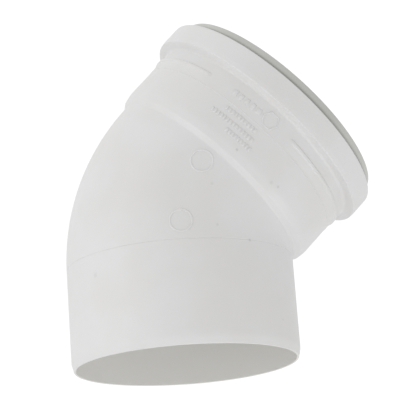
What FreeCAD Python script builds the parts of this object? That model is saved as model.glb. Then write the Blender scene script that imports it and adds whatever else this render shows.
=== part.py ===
import FreeCAD, Part
import math
import os

# A white PVC elbow of nominal size 100 with one plain spigot and one ring-seal socket.
# The frame: the spigot's axis is Z, its mouth is at z = 0, and the bend turns towards +X.
# Everything on the socket is given as a distance along the socket's axis, measured from
# the end of the bend, and a radius from that axis. Lengths are in mm and angles in degrees.

# Pipe size
PIPE_RADIUS = 50.8
PASSAGE_RADIUS = 49.0

# Bend
BEND_ANGLE = 45.0
BEND_RADIUS = 53.6

# Spigot, with a rounded lead-in and a fine witness groove where it meets the bend
SPIGOT_LENGTH = 45.4
LEAD_IN_LENGTH = 3.5
LEAD_IN_DEPTH = 0.9
LEAD_IN_ROUNDING = 7.0
TIP_BREAK = 0.4
WITNESS_WIDTH = 0.4
WITNESS_DEPTH = 0.18

# Socket wall, which starts with a shoulder round the end of the bend, steep and then gentle
SOCKET_RADIUS = 53.5
SOCKET_BORE_RADIUS = 51.2
SOCKET_BORE_START = 2.0
SHOULDER_FOOT = -0.3
SHOULDER_SUNK = 0.5
SHOULDER_TOP = 2.0
SHOULDER_TOP_RADIUS = 52.8
SHOULDER_TOP_ROUNDING = 1.5
SHOULDER_EASED = 5.6
SHOULDER_EASED_ROUNDING = 10.0
STOP_ROUNDING = 0.3
PARTING_LINE = 20.2
PARTING_LINE_RISE = 0.14
PARTING_LINE_FALL = 0.6
PARTING_LINE_HEIGHT = 0.13

# Seal housing: a steep flank, a crest, and a short easing up to the full radius
HOUSING_RADIUS = 58.52
HOUSING_FOOT = 31.3
HOUSING_FOOT_ROUNDING = 1.2
CREST = 32.6
CREST_RADIUS = 58.1
CREST_ROUNDING = 0.8
HOUSING_FULL = 34.6
HOUSING_FULL_ROUNDING = 4.0
HOUSING_RIM = 43.2
RIM_ROUNDING = 0.6
CHAMBER_RADIUS = 56.1
FLARE_START = 32.6
FLARE_START_ROUNDING = 1.0
FLARE_END = 34.0
FLARE_END_ROUNDING = 0.6

# Raised ribs on the socket wall, one on the outer side of the bend and one on the inner side
RIB_START = 21.0
RIB_STEP = 24.4
RIB_STEP_RADIUS = 53.85
RIB_STEP_ROUNDING = 0.5
RIB_CREST_START = 25.0
RIB_CREST_ROUNDING = 0.3
RIB_END = 26.2
RIB_END_ROUNDING = 0.3
RIB_RADIUS = 54.33
RIB_SUNK = 0.4
RIB_GAP_HALF_ANGLE = 26.0
RIB_TURN = -2.1

# Round mould marks on the front of the bend, given by the centre's x and z
MARK_CENTRES = ((-0.66, 53.25), (10.08, 78.23))
MARK_RADIUS = 4.8
MARK_WIDTH = 0.9
MARK_HEIGHT = 0.25

# Seal retainer: a plug inside the housing, and a nose that slopes in from the housing's rim
RETAINER_INNER_RADIUS = 51.7
RETAINER_BACK = 39.6
RETAINER_BACK_ROUNDING = 0.4
NOSE_END = 47.9
NOSE_START_RADIUS = 57.14
NOSE_START_ROUNDING = 0.4
NOSE_END_RADIUS = 54.65
NOSE_END_ROUNDING = 0.5
LEAD_IN_MOUTH_RADIUS = 53.4
LEAD_IN_MOUTH_ROUNDING = 0.3
LEAD_IN_MOUTH_START = 44.9
LEAD_IN_MOUTH_START_ROUNDING = 1.5
SNAP_PLACE = 41.3
SNAP_HALF_WIDTH = 0.7
SNAP_HEIGHT = 0.35

# Seal ring: a heel against the chamber's wall, and two lips that lean away from the mouth
SEAL_CLEARANCE = 0.05
SEAL_BACK = 34.9
SEAL_BACK_RADIUS = 54.6
SEAL_FRONT_RADIUS = 53.2
SEAL_ROUNDING = 0.5
LIP_RADIUS = 51.02
LIP_ROUNDING = 0.35
FRONT_LIP_TIP = (38.0, 37.1)
BACK_LIP_TIP = (34.3, 33.4)
LIP_ROOT_RADIUS = 53.3
LIP_ROOT = (37.7, 36.6)
BACK_LIP_ROOT = 35.6
BACK_LIP_ROOT_RADIUS = 54.2

Y_AXIS = FreeCAD.Vector(0, 1, 0)
Z_AXIS = FreeCAD.Vector(0, 0, 1)
ORIGIN = FreeCAD.Vector(0, 0, 0)
BEND_START = FreeCAD.Vector(0, 0, SPIGOT_LENGTH)
BEND_CENTRE = FreeCAD.Vector(BEND_RADIUS, 0, SPIGOT_LENGTH)
FULL_TURN = 360.0
HALF_TURN = 180.0
MARGIN = 1.0


def rounded_corner(before, corner, after, rounding):
    """Start, middle and end of the arc that rounds the corner of two straight lines."""
    to_before = (before - corner).normalize()
    to_after = (after - corner).normalize()
    half_angle = to_before.getAngle(to_after) / 2
    setback = rounding / math.tan(half_angle)
    bisector = (to_before + to_after).normalize()
    centre = corner + bisector * (rounding / math.sin(half_angle))
    start = corner + to_before * setback
    middle = centre - bisector * rounding
    end = corner + to_after * setback
    return start, middle, end


def section(corners):
    """A closed face in the XZ plane from (along, radius, rounding) corners."""
    points = [FreeCAD.Vector(radius, 0, along) for along, radius, rounding in corners]
    count = len(points)
    pieces = []
    for index in range(count):
        rounding = corners[index][2]
        if rounding > 0:
            before = points[index - 1]
            after = points[(index + 1) % count]
            pieces.append(rounded_corner(before, points[index], after, rounding))
        else:
            pieces.append((points[index],))
    edges = []
    for index in range(count):
        piece = pieces[index]
        following = pieces[(index + 1) % count]
        if len(piece) > 1:
            edges.append(Part.Arc(*piece).toShape())
        edges.append(Part.LineSegment(piece[-1], following[0]).toShape())
    return Part.Face(Part.Wire(edges))


def turned(corners, angle=FULL_TURN):
    """A solid of revolution about Z from (along, radius, rounding) corners."""
    return section(corners).revolve(ORIGIN, Z_AXIS, angle)


def on_socket(shape):
    """Moves a shape made along Z so that it stands at the end of the bend."""
    placed = shape.copy()
    placed.translate(BEND_START)
    placed.rotate(BEND_CENTRE, Y_AXIS, BEND_ANGLE)
    return placed


def bend(radius):
    """The curved tube's solid: a disc turned about the bend's axis."""
    disc = Part.Face(Part.Wire(Part.makeCircle(radius, BEND_START, Z_AXIS)))
    return disc.revolve(BEND_CENTRE, Y_AXIS, BEND_ANGLE)


def spigot_outside():
    """The spigot's outer solid."""
    return turned([
        (0, 0, 0),
        (0, PIPE_RADIUS - LEAD_IN_DEPTH, 0),
        (LEAD_IN_LENGTH, PIPE_RADIUS, LEAD_IN_ROUNDING),
        (SPIGOT_LENGTH - WITNESS_WIDTH, PIPE_RADIUS, 0),
        (SPIGOT_LENGTH - WITNESS_WIDTH / 2, PIPE_RADIUS - WITNESS_DEPTH, 0),
        (SPIGOT_LENGTH, PIPE_RADIUS, 0),
        (SPIGOT_LENGTH, 0, 0),
    ])


def socket_outside():
    """The socket's outer solid: shoulder, wall with its parting line, flank, and housing."""
    sunk_foot = SHOULDER_FOOT - SHOULDER_SUNK
    slope = (SHOULDER_TOP_RADIUS - PIPE_RADIUS) / (SHOULDER_TOP - SHOULDER_FOOT)
    return on_socket(turned([
        (sunk_foot, 0, 0),
        (sunk_foot, PIPE_RADIUS - SHOULDER_SUNK * slope, 0),
        (SHOULDER_TOP, SHOULDER_TOP_RADIUS, SHOULDER_TOP_ROUNDING),
        (SHOULDER_EASED, SOCKET_RADIUS, SHOULDER_EASED_ROUNDING),
        (PARTING_LINE - PARTING_LINE_RISE, SOCKET_RADIUS, 0),
        (PARTING_LINE, SOCKET_RADIUS + PARTING_LINE_HEIGHT, 0),
        (PARTING_LINE + PARTING_LINE_FALL, SOCKET_RADIUS, 0),
        (HOUSING_FOOT, SOCKET_RADIUS, HOUSING_FOOT_ROUNDING),
        (CREST, CREST_RADIUS, CREST_ROUNDING),
        (HOUSING_FULL, HOUSING_RADIUS, HOUSING_FULL_ROUNDING),
        (HOUSING_RIM, HOUSING_RADIUS, RIM_ROUNDING),
        (HOUSING_RIM, 0, 0),
    ]))


def ribs():
    """Two raised arcs on the socket wall, with a gap at the front and at the back."""
    foot_radius = SOCKET_RADIUS - RIB_SUNK
    arc_angle = HALF_TURN - 2 * RIB_GAP_HALF_ANGLE
    rib = turned([
        (RIB_START, foot_radius, 0),
        (RIB_START, SOCKET_RADIUS, 0),
        (RIB_STEP, RIB_STEP_RADIUS, RIB_STEP_ROUNDING),
        (RIB_CREST_START, RIB_RADIUS, RIB_CREST_ROUNDING),
        (RIB_END, RIB_RADIUS, RIB_END_ROUNDING),
        (RIB_END, foot_radius, 0),
    ], arc_angle)
    placed = []
    for side in (0, HALF_TURN):
        turned_rib = rib.copy()
        turned_rib.rotate(ORIGIN, Z_AXIS, side - arc_angle / 2 + RIB_TURN)
        placed.append(on_socket(turned_rib))
    return placed


def mould_marks():
    """Thin raised circles on the front of the bend, of even height on its curved surface."""
    skin = bend(PIPE_RADIUS + MARK_HEIGHT)
    marks = []
    for across, up in MARK_CENTRES:
        start = FreeCAD.Vector(across, -PIPE_RADIUS - MARGIN, up)
        outer = Part.makeCylinder(MARK_RADIUS + MARK_WIDTH / 2, 2 * MARGIN, start, Y_AXIS)
        inner = Part.makeCylinder(MARK_RADIUS - MARK_WIDTH / 2, 2 * MARGIN, start, Y_AXIS)
        marks.append(outer.cut(inner).common(skin))
    return marks


def passage():
    """The open way through the elbow, from the spigot's mouth to the socket's rim."""
    spigot_bore = turned([
        (-MARGIN, 0, 0),
        (-MARGIN, PASSAGE_RADIUS + TIP_BREAK + MARGIN, 0),
        (TIP_BREAK, PASSAGE_RADIUS, 0),
        (SPIGOT_LENGTH, PASSAGE_RADIUS, 0),
        (SPIGOT_LENGTH, 0, 0),
    ])
    stop_bore = on_socket(Part.makeCylinder(PASSAGE_RADIUS, SOCKET_BORE_START + MARGIN))
    socket_bore = on_socket(turned([
        (SOCKET_BORE_START, 0, 0),
        (SOCKET_BORE_START, SOCKET_BORE_RADIUS, STOP_ROUNDING),
        (FLARE_START, SOCKET_BORE_RADIUS, FLARE_START_ROUNDING),
        (FLARE_END, CHAMBER_RADIUS, FLARE_END_ROUNDING),
        (SNAP_PLACE - SNAP_HALF_WIDTH, CHAMBER_RADIUS, 0),
        (SNAP_PLACE, CHAMBER_RADIUS + SNAP_HEIGHT, 0),
        (SNAP_PLACE + SNAP_HALF_WIDTH, CHAMBER_RADIUS, 0),
        (HOUSING_RIM + MARGIN, CHAMBER_RADIUS, 0),
        (HOUSING_RIM + MARGIN, 0, 0),
    ]))
    return [spigot_bore, bend(PASSAGE_RADIUS), stop_bore, socket_bore]


def elbow_body():
    """The one moulding: its outside joined up, with the passage cut through it."""
    outside = spigot_outside().multiFuse([bend(PIPE_RADIUS), socket_outside()] + ribs())
    outside = outside.multiFuse(mould_marks())
    return outside.cut(passage()).removeSplitter()


def seal_retainer():
    """The ring pressed into the housing's open end, with a snap bead and a sloping nose."""
    return on_socket(turned([
        (RETAINER_BACK, RETAINER_INNER_RADIUS, RETAINER_BACK_ROUNDING),
        (RETAINER_BACK, CHAMBER_RADIUS, RETAINER_BACK_ROUNDING),
        (SNAP_PLACE - SNAP_HALF_WIDTH, CHAMBER_RADIUS, 0),
        (SNAP_PLACE, CHAMBER_RADIUS + SNAP_HEIGHT, 0),
        (SNAP_PLACE + SNAP_HALF_WIDTH, CHAMBER_RADIUS, 0),
        (HOUSING_RIM, CHAMBER_RADIUS, 0),
        (HOUSING_RIM, NOSE_START_RADIUS, NOSE_START_ROUNDING),
        (NOSE_END, NOSE_END_RADIUS, NOSE_END_ROUNDING),
        (NOSE_END, LEAD_IN_MOUTH_RADIUS, LEAD_IN_MOUTH_ROUNDING),
        (LEAD_IN_MOUTH_START, RETAINER_INNER_RADIUS, LEAD_IN_MOUTH_START_ROUNDING),
    ]))


def seal_ring():
    """The rubber ring, with its lips at the size that they have round a pipe."""
    heel_radius = CHAMBER_RADIUS - SEAL_CLEARANCE
    front = RETAINER_BACK - SEAL_CLEARANCE
    return on_socket(turned([
        (front, heel_radius, SEAL_ROUNDING),
        (front, SEAL_FRONT_RADIUS, SEAL_ROUNDING),
        (FRONT_LIP_TIP[0], LIP_RADIUS, LIP_ROUNDING),
        (FRONT_LIP_TIP[1], LIP_RADIUS, LIP_ROUNDING),
        (LIP_ROOT[0], LIP_ROOT_RADIUS, SEAL_ROUNDING),
        (LIP_ROOT[1], LIP_ROOT_RADIUS, SEAL_ROUNDING),
        (BACK_LIP_TIP[0], LIP_RADIUS, LIP_ROUNDING),
        (BACK_LIP_TIP[1], LIP_RADIUS, LIP_ROUNDING),
        (BACK_LIP_ROOT, BACK_LIP_ROOT_RADIUS, SEAL_ROUNDING),
        (SEAL_BACK, SEAL_BACK_RADIUS, LIP_ROUNDING),
        (SEAL_BACK, heel_radius, SEAL_ROUNDING),
    ]))


PARTS = {
    "elbow_body": elbow_body,
    "seal_ring": seal_ring,
    "seal_retainer": seal_retainer,
}


def main():
    os.makedirs("parts", exist_ok=True)
    for name, build in PARTS.items():
        shape = build()
        if not shape.isValid() or len(shape.Solids) != 1:
            raise ValueError(name + " is not one valid solid")
        shape.Solids[0].exportStep("parts/" + name + ".step")
        print(name, "volume", round(shape.Volume), "mm3")


main()
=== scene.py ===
"""A white 45 degree pipe elbow with a plain spigot, a ring-seal socket and a seal retainer."""

import math

import bmesh
import bpy
from bpy.props import FloatProperty, FloatVectorProperty, IntProperty, PointerProperty
from mathutils import Matrix, Vector


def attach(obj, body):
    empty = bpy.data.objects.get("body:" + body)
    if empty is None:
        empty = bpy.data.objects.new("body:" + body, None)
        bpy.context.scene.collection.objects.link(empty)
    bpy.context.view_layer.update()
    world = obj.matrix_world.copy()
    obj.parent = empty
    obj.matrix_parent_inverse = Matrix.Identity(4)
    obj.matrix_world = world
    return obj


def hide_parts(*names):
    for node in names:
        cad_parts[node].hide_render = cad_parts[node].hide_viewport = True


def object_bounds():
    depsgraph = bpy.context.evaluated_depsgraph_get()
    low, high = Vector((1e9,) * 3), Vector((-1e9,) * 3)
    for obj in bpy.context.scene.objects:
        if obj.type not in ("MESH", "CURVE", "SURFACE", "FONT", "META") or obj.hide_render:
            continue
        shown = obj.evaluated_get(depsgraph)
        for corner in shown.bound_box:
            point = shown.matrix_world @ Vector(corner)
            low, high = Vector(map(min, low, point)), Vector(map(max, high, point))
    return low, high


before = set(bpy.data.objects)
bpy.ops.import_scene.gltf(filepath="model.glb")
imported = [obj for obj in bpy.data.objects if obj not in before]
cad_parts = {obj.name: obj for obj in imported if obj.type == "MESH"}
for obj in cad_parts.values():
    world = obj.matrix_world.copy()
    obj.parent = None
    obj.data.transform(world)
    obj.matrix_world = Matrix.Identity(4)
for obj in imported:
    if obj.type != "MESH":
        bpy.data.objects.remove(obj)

CAD_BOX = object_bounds()

bl_info = {
    "name": "Ring-Seal Elbow",
    "version": (1, 0, 0),
    "blender": (4, 5, 0),
    "location": "3D View > Sidebar > Elbow",
    "description": "Builds a white moulded pipe elbow with its seal, its seal retainer and its studio",
    "category": "Add Mesh",
}

MM = 0.001
FULL_TURN = math.tau
ARC_STEP = math.radians(8)
SUPPORT_GAP = 0.25 * MM
SUPPORT_SHARE = 0.3
LEAST_ARC_STEPS = 2

# Small measures of the moulding
RIB_EDGE = 0.9 * MM
FOOT_EASE_SHARE = 0.44
EDGE_SOFTNESS = 0.05 * MM
LINE_SOFTNESS = 0.04 * MM
BEAD_SOFTNESS = 0.08 * MM
ROOT_FILLET = 0.08 * MM
ROOT_FILLET_START = 0.5 * MM
SHOULDER_FIRST_ROW = 0.25 * MM
RIB_ROW_GAP = 0.1 * MM
COARSE_ROW = 0.8 * MM
FINE_ROW = 0.12 * MM
EASED_ROUNDING = 10.0 * MM
FULL_ROUNDING = 4.0 * MM
CHAMBER_ROUNDING = 0.2 * MM
FLARE_END_ROUNDING = 0.6 * MM
FLARE_START_ROUNDING = 1.0 * MM
STOP_ROUNDING = 0.3 * MM

# The retainer's corners
BACK_ROUNDING = 0.4 * MM
CREASE_ROUNDING = 0.2 * MM
NOSE_ROUNDING = 0.5 * MM
MOUTH_ROUNDING = 0.3 * MM
MOUTH_START_ROUNDING = 1.5 * MM

# The seal's section: places along the socket, and radii
SEAL_FRONT_RADIUS = 53.2 * MM
FRONT_LIP_TIP = (38.0 * MM, 37.1 * MM)
LIP_ROOT = (37.7 * MM, 36.6 * MM)
LIP_ROOT_RADIUS = 53.3 * MM
BACK_LIP_TIP = (34.3 * MM, 33.4 * MM)
BACK_LIP_ROOT = 35.6 * MM
BACK_LIP_ROOT_RADIUS = 54.2 * MM
SEAL_BACK = 34.9 * MM
SEAL_BACK_RADIUS = 54.6 * MM
TIP_ROUNDING = 0.35 * MM
SEAL_ROUNDING = 0.45 * MM

# Raised marks. A row of bars: place (mm), first and last turn (degrees), count, depth (mm)
CIRCLE_CENTRES = ((-1.1 * MM, 53.25 * MM, 0.0), (9.6 * MM, 79.1 * MM, 0.0))
NUB_STRETCH = 1.5
NUB_FLATNESS = 0.45
LINE_PROFILE_SIDES = 10
BAR_ROWS = (
    (25.0, -12.6, 5.0, 5, 2.9),
    (17.4, -10.0, 9.0, 10, 2.1),
    (13.3, -15.0, 10.6, 14, 2.1),
    (9.6, -3.0, 12.6, 9, 2.1),
)
BAR_SHARE = 0.66
OUTLINE_TURN = math.radians(10.1)
OUTLINE_PLACE = 25.4 * MM
OUTLINE = {"Line Radius": 3.9 * MM, "Line Width": 0.8 * MM, "Line Sides": 6}

# Small spots: on the socket or not, place (mm), turn (degrees), size (mm), depth
SPOTS = (
    (True, 5.8, 7.6, 0.9, 0.30),
    (True, 6.4, 30.0, 1.2, 0.14),
    (True, 7.4, 34.0, 0.9, 0.22),
    (False, 73.5, 7.9, 1.0, 0.14),
    (False, 52.9, 16.0, 0.9, 0.18),
    (False, 45.0, 33.8, 0.9, 0.30),
    (False, 35.6, -49.0, 1.6, 0.12),
    (False, 12.0, 54.0, 0.8, 0.14),
)

# Surface
RIPPLE_HEIGHT = 3.0
CLOUD_RANGE = (0.35, 0.68)
STREAK_RANGE = (0.70, 0.76)
PATCH_RANGE = (0.56, 0.68)
SPECK_CORE = 0.4
SPOT_CORE = 0.25
SCRATCH_TURN = (0.4, 0.3, 0.5)
SCRATCH_STRETCH = (1.0, 22.0, 3.0)
SPECK_DEPTH = 0.35
SCRATCH_DIRT = 0.08
SCRATCH_ROUGHNESS = 0.2
SCRATCH_HEIGHT = -0.6
CLOUD_DUST = 0.22
SPECK_DUST = 0.5
BUMP_DISTANCE = 0.3 * MM
PLASTIC_BUMP = 0.12
RUBBER_BUMP = 0.3
# Painted shade inside the passage fades out between these distances beyond the passage radius
INSIDE_FADE = (0.2 * MM, 0.7 * MM)
# Painted shade in the crease fades out over this many crease widths from the housing's rim
CREASE_FADE = 2

# Studio. A lamp: name, direction from the elbow, size
LAMPS = (
    ("left", (-1.0, -0.15, 0.0), 0.8),
    ("top_left", (-0.55, -0.45, 0.75), 0.7),
    ("front_left", (-0.8, -0.6, 0.05), 0.7),
    ("low_left", (-0.7, -0.15, -0.7), 0.6),
    ("low_front", (0.0, -0.75, -0.66), 0.5),
    ("low_right", (0.45, -0.3, -0.85), 0.6),
    ("below", (0.0, -0.3, -1.0), 0.7),
)
LAMP_DISTANCE = 0.9
FLOOR_REACH = 3.0
FLOOR_GAP = 0.2 * MM
FLOOR_SHADE = 0.97
AIM = Vector((0.013594, 0.0, 0.072981))
CAMERA_AZIMUTH = math.radians(-4.333)
CAMERA_ELEVATION = math.radians(-15.313)
CAMERA_ROLL = math.radians(-4.260)
CAMERA_DISTANCE = 0.805315
CAMERA_LENS = 155.28
SENSOR_WIDTH = 36.0


# Settings

def length(name, description, millimetres):
    """A length setting, given in millimetres and kept in metres."""
    return FloatProperty(name=name, description=description, default=millimetres * MM,
        unit="LENGTH", subtype="DISTANCE", precision=5)


def angle(name, description, degrees):
    """An angle setting, given in degrees and kept in radians."""
    return FloatProperty(name=name, description=description, default=math.radians(degrees),
        unit="ROTATION", subtype="ANGLE")


def share(name, description, default):
    """A setting from 0 to 1."""
    return FloatProperty(name=name, description=description, default=default,
        min=0.0, max=1.0, subtype="FACTOR")


def strength(name, description, default):
    """A light or pattern strength."""
    return FloatProperty(name=name, description=description, default=default)


def colour(name, description, default):
    """A colour setting, in linear red, green and blue."""
    return FloatVectorProperty(name=name, description=description, default=default,
        size=3, min=0.0, max=1.0, subtype="COLOR")


class BendSizes(bpy.types.PropertyGroup):
    """The spigot and the bend."""
    pipe_radius: length("Pipe Radius", "Outside of the spigot and of the bend", 50.8)
    passage_radius: length("Passage Radius", "Inside of the spigot and of the bend", 49.0)
    radius: length("Bend Radius", "From the bend's centre to the pipe's axis", 53.6)
    angle: angle("Bend Angle", "Angle between the spigot and the socket", 45)
    spigot_length: length("Spigot Length", "From the spigot's mouth to the bend", 45.4)
    lead_in_length: length("Lead-In Length", "Rounded taper at the spigot's mouth", 3.5)
    lead_in_depth: length("Lead-In Depth", "How far the taper goes in", 0.9)
    lead_in_rounding: length("Lead-In Rounding", "Radius where the taper meets the wall", 7.0)
    tip_rounding: length("Tip Rounding", "Radius on the two edges of the spigot's mouth", 0.3)
    witness_width: length("Witness Width", "Fine groove where the spigot meets the bend", 0.4)
    witness_depth: length("Witness Depth", "Depth of the fine groove", 0.18)
    segments: IntProperty(name="Segments", description="Faces round the pipe", default=320, min=24)
    row_angle: angle("Row Angle", "Turn between two rows of faces in the bend", 1.25)


class SocketSizes(bpy.types.PropertyGroup):
    """The socket, measured along its axis from the end of the bend."""
    wall_radius: length("Wall Radius", "Outside of the socket wall", 53.5)
    bore_radius: length("Bore Radius", "Inside of the socket wall", 51.2)
    bore_start: length("Bore Start", "Where the pipe's stop ends", 2.0)
    shoulder_foot: length("Shoulder Foot", "Where the shoulder leaves the bend", -0.3)
    shoulder_top: length("Shoulder Top", "Where the shoulder's steep part ends", 2.0)
    shoulder_top_radius: length("Shoulder Top Radius", "Radius where the steep part ends", 52.8)
    shoulder_rounding: length("Shoulder Rounding", "Radius where the steep part ends", 1.5)
    shoulder_eased: length("Shoulder Eased", "Where the shoulder has become the wall", 5.6)
    parting_line: length("Parting Line", "Fine raised line round the wall", 20.2)
    parting_rise: length("Parting Rise", "Length of that line's steep side", 0.14)
    parting_fall: length("Parting Fall", "Length of that line's gentle side", 0.6)
    parting_height: length("Parting Height", "Height of that line", 0.13)
    housing_foot: length("Housing Foot", "Where the steep flank starts", 31.8)
    foot_rounding: length("Foot Rounding", "Radius at the flank's foot", 1.5)
    crest: length("Crest", "Place of the crest line", 32.6)
    crest_radius: length("Crest Radius", "Radius of the crest line", 58.3)
    crest_rounding: length("Crest Rounding", "Radius on the crest line", 0.4)
    housing_full: length("Housing Full", "Where the housing has its full radius", 34.6)
    housing_radius: length("Housing Radius", "Full radius of the seal housing", 58.52)
    rim: length("Rim", "End of the housing", 43.2)
    rim_rounding: length("Rim Rounding", "Radius on the housing's end", 0.6)
    chamber_radius: length("Chamber Radius", "Inside of the seal housing", 56.1)
    flare_start: length("Flare Start", "Where the bore opens out", 32.6)
    flare_end: length("Flare End", "Where the seal chamber starts", 34.0)
    rib_start: length("Rib Start", "Foot of the raised ribs", 21.0)
    rib_step: length("Rib Step", "Where the ribs' gentle rise turns steep", 24.4)
    rib_step_height: length("Rib Step Height", "Height of the ribs' gentle rise", 0.35)
    rib_crest: length("Rib Crest", "Where the ribs have their full height", 25.0)
    rib_end: length("Rib End", "Where the ribs end", 26.2)
    rib_height: length("Rib Height", "Height of the ribs", 0.83)
    rib_gap: angle("Rib Gap", "Half angle of the gap in the ribs, front and back", 26)
    rib_turn: angle("Rib Turn", "How far the two ribs are turned round the socket", -2.1)
    rib_fade: angle("Rib Fade", "Half angle over which a rib's end rises", 0.8)


class SealSizes(bpy.types.PropertyGroup):
    """The seal retainer and the seal, measured as the socket is."""
    inner_radius: length("Retainer Inner Radius", "Inside of the retainer", 51.7)
    back: length("Retainer Back", "Inner end of the retainer", 39.6)
    nose_end: length("Nose End", "Outer end of the retainer", 47.9)
    nose_start_radius: length("Nose Start Radius", "Nose where it leaves the housing", 57.14)
    nose_end_radius: length("Nose End Radius", "Nose at its outer end", 54.65)
    crease_width: length("Crease Width", "Width of the crease between housing and nose", 1.3)
    crease_floor: length("Crease Floor", "Height of the crease's floor over the chamber", 0.12)
    mouth_radius: length("Mouth Radius", "Inside of the lead-in's mouth", 53.4)
    mouth_start: length("Mouth Start", "Where the lead-in starts", 44.9)
    snap_place: length("Snap Place", "Snap bead in the housing", 41.3)
    snap_half_width: length("Snap Half Width", "Half the width of the snap bead", 0.7)
    snap_height: length("Snap Height", "Height of the snap bead", 0.35)
    clearance: length("Seal Clearance", "Gap round the seal", 0.05)
    lip_radius: length("Lip Radius", "Inside of the seal's lips", 51.02)


class MarkSizes(bpy.types.PropertyGroup):
    """Raised marks on the front."""
    circle_radius: length("Circle Radius", "Round mould marks on the bend", 4.8)
    circle_line: length("Circle Line", "Width of their raised line", 0.9)
    circle_height: length("Circle Height", "Height of their raised line", 0.25)
    bar_height: length("Bar Height", "Height of the blank bars on the socket", 0.3)
    bar_sunk: length("Bar Sunk", "How far the bars go into the wall", 0.1)
    seed: IntProperty(name="Seed", description="Fixed seed for the bars' widths", default=7)


class Finish(bpy.types.PropertyGroup):
    """Colours and surface of the three plastics, with painted shade inside the passage, on the retainer
    and in its crease.
    """
    body_colour: colour("Body", "White plastic of the elbow", (0.803, 0.799, 0.800))
    body_shade: colour("Body Shade", "Its slightly greyer patches", (0.776, 0.771, 0.760))
    # Painted shade: a darker, warmer tone that stands for the shade inside the passage
    inside_colour: colour("Inside", "Warmer tone inside the passage", (0.783, 0.777, 0.749))
    # Partly a greyer plastic and partly painted shade: both retainer colours are darkened for its nose,
    # which faces away from the light
    retainer_colour: colour("Retainer", "White plastic of the seal retainer", (0.617, 0.624, 0.588))
    retainer_shade: colour("Retainer Shade", "Its greyer patches", (0.575, 0.582, 0.545))
    rubber_colour: colour("Rubber", "Black rubber of the seal", (0.022, 0.022, 0.024))
    dust_colour: colour("Dust", "Dust on the rubber", (0.16, 0.16, 0.15))
    # Painted shade in the crease behind the retainer's nose
    crease_colour: colour("Crease", "Dust in the crease behind the retainer's nose", (0.36, 0.36, 0.33))
    dirt_colour: colour("Dirt", "Specks and scuffs", (0.33, 0.33, 0.31))
    roughness: share("Roughness", "Roughness of the plastic", 0.34)
    rubber_roughness: share("Rubber Roughness", "Roughness of the rubber", 0.62)


class Studio(bpy.types.PropertyGroup):
    """Light of the studio."""
    ambient: strength("Ambient", "Light that comes from everywhere", 0.7065)
    ambient_slope: FloatVectorProperty(name="Ambient Slope",
        description="How the ambient light grows along each axis",
        default=(-0.052, 0.122, 0.132), size=3)
    backdrop: strength("Backdrop", "Brightness of the plain backdrop", 1.05)
    left: strength("Left", "Large soft light at the left, in watts", 0.79)
    top_left: strength("Top Left", "Soft light at the upper left, in watts", 0.57)
    front_left: strength("Front Left", "Soft light at the front left, in watts", 0.60)
    low_left: strength("Low Left", "Soft light at the lower left, in watts", 0.21)
    low_front: strength("Low Front", "Soft light low in front, in watts", 0.35)
    low_right: strength("Low Right", "Soft light at the lower right, in watts", 1.32)
    below: strength("Below", "Soft light from below, in watts", 0.72)
    floor_colour: colour("Floor", "Plain pale floor", (0.82, 0.82, 0.81))


class ElbowSettings(bpy.types.PropertyGroup):
    """Everything that a user would change."""
    bend: PointerProperty(type=BendSizes)
    socket: PointerProperty(type=SocketSizes)
    seal: PointerProperty(type=SealSizes)
    marks: PointerProperty(type=MarkSizes)
    finish: PointerProperty(type=Finish)
    studio: PointerProperty(type=Studio)


# Node trees

def pick(sockets, key):
    """A socket by number, or the enabled one of that name or identifier."""
    if isinstance(key, int):
        return sockets[key]
    return next(found for found in sockets if found.enabled and key in (found.name, found.identifier))


def sum_of(operation, swapped=False):
    """A method that adds the node for one kind of sum."""
    def run(value, *others):
        values = (*others, value) if swapped else (value, *others)
        return value.board.math(operation, *values)
    return run


class Value:
    """The value of a node's output. A sum written with it adds nodes to its board."""
    __add__ = sum_of("ADD")
    __sub__ = sum_of("SUBTRACT")
    __rsub__ = sum_of("SUBTRACT", swapped=True)
    __mul__ = sum_of("MULTIPLY")
    __truediv__ = sum_of("DIVIDE")
    __rtruediv__ = sum_of("DIVIDE", swapped=True)

    def __init__(self, board, socket):
        self.board = board
        self.socket = socket

    def __getitem__(self, name):
        """Another output of the same node."""
        return Value(self.board, pick(self.socket.node.outputs, name))

    def __neg__(self):
        return self * -1.0


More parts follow.
